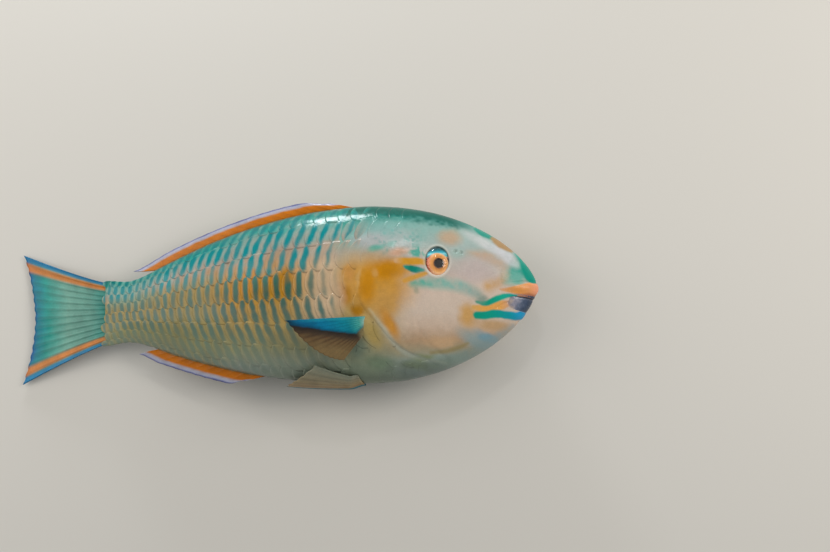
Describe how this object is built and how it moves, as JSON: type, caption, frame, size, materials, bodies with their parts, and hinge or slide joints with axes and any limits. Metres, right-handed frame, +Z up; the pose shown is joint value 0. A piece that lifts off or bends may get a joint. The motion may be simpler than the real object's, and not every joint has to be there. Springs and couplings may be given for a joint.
{
  "type": "parrotfish",
  "caption": "Whole parrotfish, life size and still, lying on its left flank with its fins folded back and its beak nearly closed.",
  "frame": {"origin": "on the floor, under the middle of the whole fish's box", "axes": "+X along the fish towards its snout, +Y towards its back, +Z up out of its right flank"},
  "size_m": [0.3012, 0.1044, 0.0534],
  "materials": {
    "skin": "wet scaled fish skin, turquoise with orange-tan bars",
    "fin": "wet fin membrane with rays, orange with blue margins",
    "beak": "smooth enamel of fused teeth, blue-grey",
    "eye": "clear wet cornea over an orange iris"
  },
  "bodies": {
    "root": {"head": "skin", "gill_cover_right": "skin", "gill_cover_left": "skin", "upper_beak": "beak", "lower_beak": "beak", "eye_right": "eye", "eye_left": "eye", "trunk": "skin", "tail_stalk": "skin", "dorsal_fin": "fin", "anal_fin": "fin", "tail_fin": "fin", "pectoral_fin_right": "fin", "pectoral_fin_left": "fin", "pelvic_fin_right": "fin", "pelvic_fin_left": "fin"}
  },
  "joints": []
}
